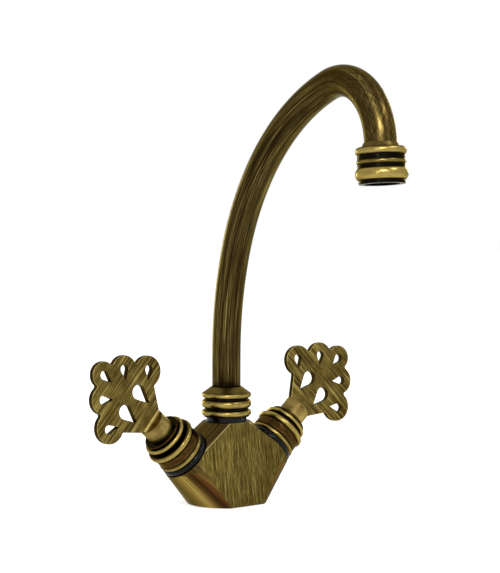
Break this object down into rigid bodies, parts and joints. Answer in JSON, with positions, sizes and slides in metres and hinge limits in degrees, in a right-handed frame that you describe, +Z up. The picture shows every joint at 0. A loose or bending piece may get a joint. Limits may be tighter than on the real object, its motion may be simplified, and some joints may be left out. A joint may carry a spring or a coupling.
{
  "type": "two-handle swan-neck sink mixer",
  "caption": "Deck-mounted two-handle sink mixer tap with a swivelling swan-neck spout, faceted body and pierced lobed lever plates.",
  "frame": {"origin": "centre of the body's underside, on the deck", "axes": "+Z up from the deck, +X towards the cold valve, and the spout reaches towards -Y"},
  "size_m": [0.2274, 0.2199, 0.2946],
  "materials": {
    "body_bronze": "antique bronze, brushed upright on the flat faces",
    "tube_bronze": "antique bronze, brushed along the tube",
    "handle_bronze": "antique bronze, brushed across the plate",
    "beaded_bronze": "antique bronze, polished on the beads and dark in the grooves",
    "black_patina": "blackened and polished",
    "brass": "machined",
    "white_ceramic": "ground ceramic",
    "black_rubber": "moulded",
    "red_fibre": "pressed fibre",
    "stainless": "bright",
    "grey_plastic": "moulded"
  },
  "bodies": {
    "root": {"body": "body_bronze", "deck_gasket": "black_rubber", "neck_ring": "black_patina", "spout_nut": "beaded_bronze", "spout_retaining_ring": "brass", "hot_base_ring": "black_patina", "hot_bonnet": "beaded_bronze", "hot_headwork": "brass", "hot_headwork_washer": "red_fibre", "hot_seat_seal": "black_rubber", "hot_fixed_disc": "white_ceramic", "cold_base_ring": "black_patina", "cold_bonnet": "beaded_bronze", "cold_headwork": "brass", "cold_headwork_washer": "red_fibre", "cold_seat_seal": "black_rubber", "cold_fixed_disc": "white_ceramic"},
    "spout": {"spout_tube": "tube_bronze", "spout_shank": "brass", "spout_lower_seal": "black_rubber", "spout_upper_seal": "black_rubber", "outlet_collar": "beaded_bronze", "outlet_seal": "black_rubber", "aerator_housing": "beaded_bronze", "aerator_insert": "grey_plastic", "aerator_screen": "stainless"},
    "hot_handle": {"hot_handle": "handle_bronze", "hot_skirt": "beaded_bronze", "hot_grub_screw": "stainless", "hot_spindle": "brass", "hot_circlip": "stainless", "hot_spindle_lower_seal": "black_rubber", "hot_spindle_upper_seal": "black_rubber", "hot_moving_disc": "white_ceramic"},
    "cold_handle": {"cold_handle": "handle_bronze", "cold_skirt": "beaded_bronze", "cold_grub_screw": "stainless", "cold_spindle": "brass", "cold_circlip": "stainless", "cold_spindle_lower_seal": "black_rubber", "cold_spindle_upper_seal": "black_rubber", "cold_moving_disc": "white_ceramic"}
  },
  "joints": [
    {"name": "spout_swivel", "type": "hinge", "parent": "root", "child": "spout", "pos_m": [0, 0, 0], "axis": [0, 0, 1], "continuous": true},
    {"name": "hot_handle_turn", "type": "hinge", "parent": "root", "child": "hot_handle", "pos_m": [0, 0, 0.004], "axis": [-0.749, 0, 0.6626], "range_deg": [-2, 88]},
    {"name": "cold_handle_turn", "type": "hinge", "parent": "root", "child": "cold_handle", "pos_m": [0, 0, 0.004], "axis": [0.749, 0, 0.6626], "range_deg": [-82.5, 7.5]}
  ]
}
